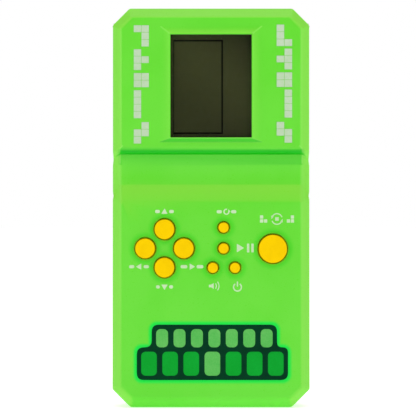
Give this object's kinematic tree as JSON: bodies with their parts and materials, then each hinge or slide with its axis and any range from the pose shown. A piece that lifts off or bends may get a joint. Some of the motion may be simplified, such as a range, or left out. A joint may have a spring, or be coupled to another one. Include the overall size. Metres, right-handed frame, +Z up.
{
  "type": "handheld lcd game",
  "caption": "Slim handheld LCD game in a translucent green two-part case: window over a display, round yellow buttons, neck recess, battery door at the back.",
  "frame": {"origin": "middle of the footprint, on the flat lower end that the game stands on", "axes": "+Z up the length of the case, front face towards -Y, +X to the right as seen from the front"},
  "size_m": [0.09, 0.029, 0.182],
  "materials": {
    "case": "translucent bright green moulded plastic, satin gloss",
    "button": "matte warm yellow",
    "lens": "clear moulded window, polished",
    "polariser": "dark olive film, smooth",
    "lcd_glass": "thin clear glass",
    "reflector": "grey metallised film",
    "holder": "off-white moulded plastic",
    "zebra": "striped conductive rubber",
    "silicone": "translucent pale silicone",
    "board": "tan phenolic board",
    "resin": "glossy black resin",
    "sleeve": "dark blue printed sleeve",
    "resistor": "beige lacquer with colour bands",
    "brass": "rolled brass",
    "ceramic": "silvered ceramic",
    "cell": "plain dark printed sleeve with metal ends",
    "nickel": "nickel-plated spring steel",
    "screw": "zinc-plated steel",
    "wire_red": "red insulation",
    "wire_black": "black insulation"
  },
  "bodies": {
    "root": {"front_case": "case", "back_case": "case", "screen_window": "lens", "lcd_front_polariser": "polariser", "lcd_front_glass": "lcd_glass", "lcd_rear_glass": "lcd_glass", "lcd_reflector": "reflector", "lcd_holder": "holder", "zebra_strip": "zebra", "keypad_directions": "silicone", "keypad_functions": "silicone", "keypad_rotate": "silicone", "circuit_board": "board", "chip_resin": "resin", "capacitor": "sleeve", "transistor": "resin", "resistor_1": "resistor", "resistor_2": "resistor", "resistor_3": "resistor", "buzzer_plate": "brass", "buzzer_ceramic": "ceramic", "battery_upper": "cell", "battery_lower": "cell", "contact_negative": "nickel", "contact_positive": "nickel", "contact_bridge": "nickel", "spring_upper": "nickel", "spring_lower": "nickel", "wire_battery_positive": "wire_red", "wire_buzzer_plate": "wire_red", "wire_battery_negative": "wire_black", "wire_buzzer_ceramic": "wire_black", "case_screw_top_left": "screw", "case_screw_top_right": "screw", "case_screw_middle_left": "screw", "case_screw_middle_right": "screw", "case_screw_bottom_left": "screw", "case_screw_bottom_right": "screw", "board_screw_top_left": "screw", "board_screw_top_right": "screw", "board_screw_middle_left": "screw", "board_screw_middle_right": "screw", "board_screw_bottom_left": "screw", "board_screw_bottom_right": "screw"},
    "door": {"battery_door": "case"},
    "up_button": {"button_up": "button"},
    "left_button": {"button_left": "button"},
    "right_button": {"button_right": "button"},
    "down_button": {"button_down": "button"},
    "reset_button": {"button_reset": "button"},
    "start_pause_button": {"button_start_pause": "button"},
    "sound_button": {"button_sound": "button"},
    "power_button": {"button_power": "button"},
    "rotate_button": {"button_rotate": "button"}
  },
  "joints": [
    {"name": "up_press", "type": "slide", "parent": "root", "child": "up_button", "axis": [0, 1, 0], "range_m": [0, 0.0012], "stiffness_N_per_m": 900, "deforming": ["keypad_directions"]},
    {"name": "left_press", "type": "slide", "parent": "root", "child": "left_button", "axis": [0, 1, 0], "range_m": [0, 0.0012], "stiffness_N_per_m": 900, "deforming": ["keypad_directions"]},
    {"name": "right_press", "type": "slide", "parent": "root", "child": "right_button", "axis": [0, 1, 0], "range_m": [0, 0.0012], "stiffness_N_per_m": 900, "deforming": ["keypad_directions"]},
    {"name": "down_press", "type": "slide", "parent": "root", "child": "down_button", "axis": [0, 1, 0], "range_m": [0, 0.0012], "stiffness_N_per_m": 900, "deforming": ["keypad_directions"]},
    {"name": "reset_press", "type": "slide", "parent": "root", "child": "reset_button", "axis": [0, 1, 0], "range_m": [0, 0.0012], "stiffness_N_per_m": 900, "deforming": ["keypad_functions"]},
    {"name": "start_pause_press", "type": "slide", "parent": "root", "child": "start_pause_button", "axis": [0, 1, 0], "range_m": [0, 0.0012], "stiffness_N_per_m": 900, "deforming": ["keypad_functions"]},
    {"name": "sound_press", "type": "slide", "parent": "root", "child": "sound_button", "axis": [0, 1, 0], "range_m": [0, 0.0012], "stiffness_N_per_m": 900, "deforming": ["keypad_functions"]},
    {"name": "power_press", "type": "slide", "parent": "root", "child": "power_button", "axis": [0, 1, 0], "range_m": [0, 0.0012], "stiffness_N_per_m": 900, "deforming": ["keypad_functions"]},
    {"name": "rotate_press", "type": "slide", "parent": "root", "child": "rotate_button", "axis": [0, 1, 0], "range_m": [0, 0.0012], "stiffness_N_per_m": 1100, "deforming": ["keypad_rotate"]},
    {"name": "door_hinge", "type": "hinge", "parent": "root", "child": "door", "pos_m": [0, 0.0144, 0.0278], "axis": [-1, 0, 0], "range_deg": [0, 70]}
  ]
}
